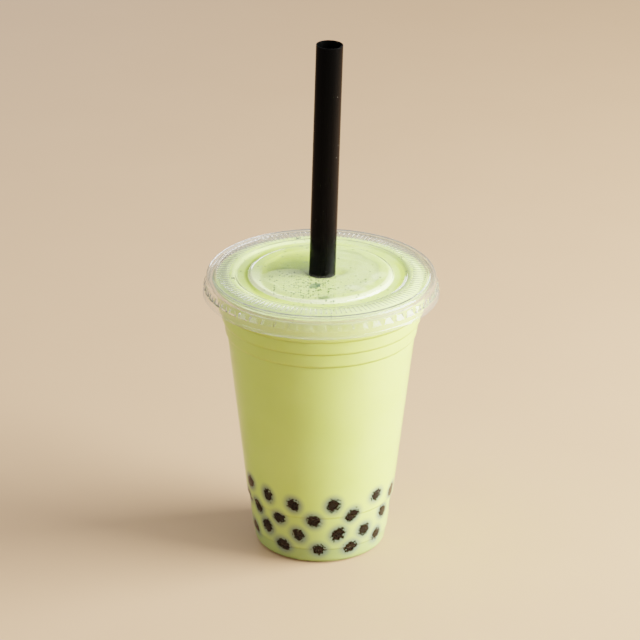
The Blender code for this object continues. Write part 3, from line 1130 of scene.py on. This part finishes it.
@dataclass(frozen=True)
class Froth:
    """The froth: it fills the lid's raised panel, dips at the straw and lies low along the wall.

    A crown, paler with painted light, runs along the panel's edge with a valley inside it on the left, and a
    long fold runs from the left to the straw with a hollow behind it. Two numbers for each vertex tell the
    material the painted shade and painted light on the froth there, and how many bubbles are open.
    """

    # painted shade and painted light on the froth, which the material reads
    PAINTED_SHADING = "froth_painted_shading"
    OPEN = "froth_open"

    cup: Cup
    lid: Lid
    straw: Straw
    sink: float
    foot: float = 121.0 * MM
    level: float = 123.0 * MM
    contact: float = 0.1 * MM           # how far it reaches into the lid's sheet
    rings: int = 110
    steps: int = 230
    sag: float = 0.30 * MM
    sag_edge: float = 25.2 * MM
    roughness: float = 0.12 * MM
    hollow: Bell = Bell(-9.5, 8.0, 8.0, 8.0, 1.7 * MM)
    shade: Bell = Bell(-10.0, 5.0, 10.0, 12.5, 2.3)     # the straw's painted shadow and painted shade in the hollow
    crest: Bell = Bell(-13.0, -0.5, 7.5, 5.0, 1.1)      # painted light on the froth in front of it
    notch: Bell = Bell(8.2, 0.6, 2.4, 2.4, 0.9 * MM)
    specks: Bell = Bell(-6.0, -15.0, 13.0, 13.0)
    # the lumps rise out of the froth and also get painted light
    lumps: tuple[Bell, ...] = tuple(Bell(x, y, 3.0, 3.0) for x, y in (
        (12.9, -15.8), (20.1, -12.5), (23.6, -6.0), (25.6, -2.8), (17.0, -19.0)))
    lump_rise: float = 0.35 * MM
    fold_depth: float = 0.35 * MM
    valley: float = 28.4 * MM           # radius of the valley inside the crown, which swings in on the left
    valley_swing: float = 2.9 * MM
    valley_depth: float = 0.8 * MM
    brim: float = 0.35 * MM             # how far the crown's top edge lies below the panel there
    swirl: Vector = Vector((9.5, 1.8, 0.0)) * MM        # the middle of a faint arc right of the straw
    swirl_radius: float = 13.5 * MM
    swirl_depth: float = 0.15 * MM
    dip: float = 0.45 * MM
    dip_width: float = 1.5 * MM

    def skin(self, spot: Vector) -> float:
        """The height of the froth's surface over a spot."""
        place = Vector((spot.x, spot.y, 0.0))
        out = place.length
        lid = self.lid
        under_panel, under_channel, under_plate = (
            top - lid.sheet + self.contact for top in (lid.panel_top, lid.channel_floor, lid.plate_top))
        edge = lid.panel - lid.sheet + self.contact
        if out > lid.channel - 1.5 * MM:
            rise = ease(out, lid.channel - 0.8 * MM, lid.channel + 1.6 * MM)
            sag = 0.1 * MM * (1.0 + noise.noise(place / (3 * MM))) * rise
            plate = under_channel + (under_plate - under_channel) * rise - sag
            rim = self.cup.inside(self.level, self.sink)
            low = self.level + self.roughness * noise.noise(place / (4 * MM))
            low += 0.5 * MM * swell(rim - out, 1.2 * MM)
            return plate + (low - plate) * ease(out, lid.channel + 3.5 * MM, rim - 0.8 * MM)
        if out > edge:
            return under_channel
        if out > edge - lid.shoulder:
            along = (out - edge + lid.shoulder) / lid.shoulder
            fall = lid.shoulder * lid.shoulder_flatness * (1.0 - (1.0 - along ** 2) ** 0.5)
            return under_panel - max(fall, self.crescent(place, out))
        return under_panel - self.depth(place, out)

    def ahead(self, place: Vector) -> float:
        """How far a place lies in front of the long fold's crest, in millimetres, below 0 behind it."""
        x, y = place.x / MM, place.y / MM
        return 4.3 - 0.035 * (x + 12.5) ** 2 - 6.2 * swell(x + 4.6, 3.2) - y

    def fold(self, place: Vector) -> float:
        """How deep the long fold is at a place, with the hollow behind it."""
        x, ahead = place.x / MM, self.ahead(place)
        line = self.fold_depth * swell(ahead + 1.2, 1.0) * band(x, -27.0, -20.0, -7.0, -1.0)
        return self.hollow.at(place) * ease(ahead, -0.2, -2.0) + line

    def valley_at(self, turn: float) -> float:
        """The radius of the valley inside the crown at an azimuth."""
        away = (turn + math.radians(92) + math.pi) % math.tau - math.pi
        return self.valley - self.valley_swing * swell(away, math.radians(25))

    def crescent(self, place: Vector, out: float) -> float:
        """How deep the valley inside the crown is at a place; the crown slopes down to it on the left."""
        turn = around(place)
        side = ease(math.cos(turn + math.radians(60)), 0.2, 0.8) * ease(place.y, 7 * MM, -1 * MM)
        valley, top = self.valley_at(turn), self.lid.panel - 0.6 * MM
        share = (top - out) / (top - valley) if out > valley else swell(valley - out, 3.5 * MM)
        brim = self.brim * ease(out, valley - 4 * MM, valley)
        return side * (self.valley_depth * max(share, 0.0) + brim)

    def lumpiness(self, place: Vector) -> float:
        """How far a place is up a lump, from 0 to 1."""
        return min(sum(lump.at(place) for lump in self.lumps), 1.0)

    def from_straw(self, place: Vector) -> float:
        """How far a place is from the straw, from 0 up."""
        return max((place.xy - self.straw.axis_at(self.level).xy).length - self.straw.radius, 0.0)

    def depth(self, place: Vector, out: float) -> float:
        """How far the froth lies below the lid's panel."""
        edge = self.sag_edge + 1.6 * MM * noise.noise(place / (9 * MM))
        inner = ease(out, edge + 0.8 * MM, edge - 1.6 * MM) * (1.0 - 0.6 * ease(place.x, 12 * MM, 22 * MM))
        rough = self.roughness * (1.0 + noise.noise(place / (3.2 * MM)))
        wide = 0.22 * MM * (1.0 + noise.noise(place / (10 * MM)))
        swirl = self.swirl_depth * swell((place.xy - self.swirl.xy).length - self.swirl_radius, 0.9 * MM)
        swirl *= ease(place.x, 11 * MM, 16 * MM) * ease(place.y, -4 * MM, 2 * MM)
        dip = self.dip * swell(self.from_straw(place), self.dip_width) * ease(place.y, 3 * MM, -2 * MM)
        body = (self.sag + rough + wide + swirl - self.lump_rise * self.lumpiness(place)) * inner
        return max(body, 0.0) + self.fold(place) + self.notch.at(place) + dip + self.crescent(place, out)

    def painted_shading(self, place: Vector) -> float:
        """The painted shade and painted light on the froth at a place.

        Args:
            place: the place.

        Returns:
            Above 0 for painted shade: up to 1 in the channel and the deepest folds, and more for the straw's
            painted shadow in the hollow; below 0 for painted light on the crown, lumps, collar and crest.
        """
        out, turn, panel = place.xy.length, around(place), self.lid.panel
        left = 0.5 + 0.5 * math.cos(turn + math.radians(85))
        far_left = swell(math.cos(turn + math.radians(92)) - 1.0, 0.25)
        right = swell(math.cos(turn - math.radians(88)) - 1.0, 0.10)
        # painted shade in the channel: on the left beside the panel's edge, on the right beside its outer
        # wall
        channel = band(out, panel - 0.2 * MM, panel + 0.5 * MM, panel + (3.0 - 2.4 * far_left) * MM,
                       panel + (6.4 - 3.8 * far_left) * MM) * (0.08 + 0.28 * left ** 2 + 0.65 * far_left)
        channel = max(channel, 0.45 * right * band(out, panel + 2.0 * MM, panel + 3.6 * MM, panel + 5.8 * MM,
                                                   panel + 7.2 * MM))
        valley = self.valley_at(turn)
        # painted light along the crown, strongest on the left
        crown = band(out, valley - 0.3 * MM, valley + 0.9 * MM, panel - 0.2 * MM, panel + 0.8 * MM)
        crown *= 1.0 + 0.6 * left * ease(out, panel - 1.8 * MM, panel - 0.9 * MM)
        crown *= ease(math.cos(turn), -0.3, 0.1)
        if out > panel - 2 * MM:
            return channel - crown
        # painted shade, deeper where the froth lies lower, and the straw's painted shadow in the hollow
        folds = min(self.depth(place, out) / (2.2 * MM), 1.0) ** 1.5 * 0.4
        folds += self.shade.at(place) * ease(self.ahead(place), 0.6, -0.6)
        # painted light round the straw's foot, on the lumps and on the crest
        collar = swell(self.from_straw(place), 0.8 * MM) * ease(place.y, 0.0, -3 * MM)
        crest = self.crest.at(place) * (1.0 - min(folds * 2.0, 1.0))
        return folds - max(crown, self.lumpiness(place), 0.6 * collar, crest)

    def settle(self, place: Vector) -> Vector:
        """Puts a vertex of the upper surface at the froth's height."""
        if place.z < self.level:
            return place
        return Vector((place.x, place.y, self.skin(place)))

    def build(self, finish: bpy.types.Material) -> None:
        """Makes the froth.

        Args:
            finish: its material.
        """
        rim = self.cup.inside(self.level, self.sink)
        top = [Corner(rim * i / self.rings, self.lid.panel_top) for i in range(self.rings + 1)]
        side = [Corner(self.cup.inside(self.foot, self.sink) + 0.02 * MM, self.foot), Corner(0.0, self.foot)]
        froth = turned("froth_top", top + side, self.steps)
        froth.move(self.settle)
        froth.mark(self.PAINTED_SHADING, self.painted_shading)
        froth.mark(self.OPEN, self.specks.at)
        froth.smooth(70)
        froth.fit(finish, Slot.FROTH, "foam")


@dataclass(frozen=True)
class Clump:
    """A clump of green tea powder that floats in the froth."""

    name: str
    place: Vector
    length: float
    width: float
    thickness: float = 0.9 * MM
    raggedness: float = 0.45
    rag_size: float = 1.1 * MM
    sinking: float = 0.22               # how far its middle lies below the froth, as a share of its thickness

    def build(self, finish: bpy.types.Material, froth: Froth) -> None:
        """Makes the clump.

        Args:
            finish: its material.
            froth: the froth that it lies in.
        """
        bpy.ops.mesh.primitive_uv_sphere_add(segments=32, ring_count=16, radius=1.0,
                                             scale=(self.length / 2, self.width / 2, self.thickness / 2))
        clump = Piece(self.name)

        def lie(point: Vector) -> Vector:
            """Ragged, and laid along the froth's surface."""
            ragged = 1.0 + self.raggedness * noise.noise((point + self.place) / self.rag_size)
            at = self.place + Vector((point.x * ragged, point.y * ragged, 0.0))
            return Vector((at.x, at.y, froth.skin(at) + point.z - self.thickness * self.sinking))

        clump.move(lie)
        clump.smooth(70)
        clump.fit(finish, Slot.FROTH)


@dataclass(frozen=True)
class Panel:
    """A soft light panel."""

    name: str
    place: Vector
    aim: Vector
    size: tuple[float, float]
    power: float
    colour: Colour = (1.0, 0.99, 0.97)

    def build(self) -> None:
        """Hangs the panel and points it."""
        bpy.ops.object.light_add(type="AREA", location=self.place)
        lamp = bpy.context.active_object
        lamp.name = self.name
        lamp.rotation_euler = (self.aim - self.place).to_track_quat("-Z", "Y").to_euler()
        lamp.data.shape = "RECTANGLE"
        lamp.data.size, lamp.data.size_y = self.size
        lamp.data.energy = self.power
        lamp.data.color = self.colour


@dataclass(frozen=True)
class Studio:
    """The pale floor, the soft light and the camera at the photograph's viewing angle."""

    picture: float = 640.0                  # pixels
    focal: float = 3801.0                   # pixels
    sensor: float = 36.0
    distance: float = 1.5
    height: float = 0.77
    pitch: float = 23.95                    # degrees below level
    roll: float = 0.29
    offset: float = 1.05                    # pixels that the cup's axis lies right of the middle
    floor_size: float = 12.0
    sky: Colour = (1.0, 0.985, 0.96)
    sky_strength: float = 0.25
    panels: tuple[Panel, ...] = (
        Panel("key", Vector((0.885, -0.08, 0.53)), Vector((0.0, 0.0, 0.08)), (0.74, 0.62), 36.0),
        Panel("fill", Vector((-0.95, -0.35, 0.55)), Vector((0.0, 0.0, 0.1)), (0.5, 0.6), 2.0),
        Panel("back", Vector((-0.34, 1.87, 0.41)), Vector((0.0, 0.0, 0.12)), (0.46, 0.36), 2.6),
        Panel("side", Vector((0.73, -0.57, 0.53)), Vector((0.0, 0.0, 0.12)), (0.36, 0.20), 2.1),
        Panel("top", Vector((0.0, -0.1, 1.22)), Vector((0.0, -0.1, 0.1)), (1.5, 1.2), 5.0),
    )

    def build(self, finish: bpy.types.Material) -> None:
        """Makes the floor, the lights and the camera.

        Args:
            finish: the floor's material.
        """
        bpy.ops.mesh.primitive_plane_add(size=self.floor_size)
        floor = bpy.context.active_object
        floor.name = "floor"
        floor.data.materials.append(finish)
        for panel in self.panels:
            panel.build()
        scene = bpy.context.scene
        scene.world = scene.world or bpy.data.worlds.new("studio")
        scene.world.use_nodes = True
        sky = scene.world.node_tree.nodes["Background"]
        sky.inputs["Color"].default_value = (*self.sky, 1.0)
        sky.inputs["Strength"].default_value = self.sky_strength
        scene.view_settings.view_transform = "Filmic"
        bpy.ops.object.camera_add(location=(0.0, -self.distance, self.height))
        camera = bpy.context.active_object
        tilt = Matrix.Rotation(math.radians(90.0 - self.pitch), 4, "X")
        camera.rotation_euler = (tilt @ Matrix.Rotation(math.radians(self.roll), 4, "Z")).to_euler()
        camera.data.sensor_width = self.sensor
        camera.data.lens = self.focal / self.picture * self.sensor
        camera.data.shift_x = -self.offset / self.picture
        camera.data.clip_end = self.floor_size
        scene.camera = camera


def main() -> None:
    """Builds the scene on the frame."""
    logging.basicConfig(level=logging.INFO, format="%(message)s")
    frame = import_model()
    cup, lid, straw = Cup(), Lid(), Straw()
    sink = 0.25 * MM
    bed = PearlBed(cup, sink)
    draw = random.Random(bed.seed)
    patches = [bed.patch_of(node, draw) for node in sorted(frame["nodes"]) if node.startswith("pearl_")]
    froth = Froth(cup, lid, straw, sink)
    cup.build(ClearPlastic("clear_cup", (0.975, 0.98, 0.97), (0.96, 0.97, 0.955), index=1.22).make())
    milky_clear = ClearPlastic("clear_lid", (0.98, 0.985, 0.975), (0.965, 0.975, 0.96), milky=Lid.MILKINESS_AND_HIGHLIGHT)
    lid.build(milky_clear.make(), straw)
    straw.build(SatinPlastic().make())
    Tea(cup, sink).build(MilkTea().make(), bed, patches)
    froth.build(FrothFinish().make())
    bed.build(Tapioca().make(), patches)
    powder = GreenPowder().make()
    Clump("green_clump_1", Vector((-2.7, -14.3, 0.0)) * MM, 5.4 * MM, 6.2 * MM).build(powder, froth)
    pale = GreenPowder("pale_green_clump", (0.19, 0.29, 0.07), (0.38, 0.50, 0.18), darkening=0.0).make()
    Clump("green_clump_2", Vector((1.6, -27.6, 0.0)) * MM, 5.0 * MM, 3.6 * MM).build(pale, froth)
    Studio().build(FloorFinish().make())
    log.info("sizes written")


if __name__ == "__main__":
    main()
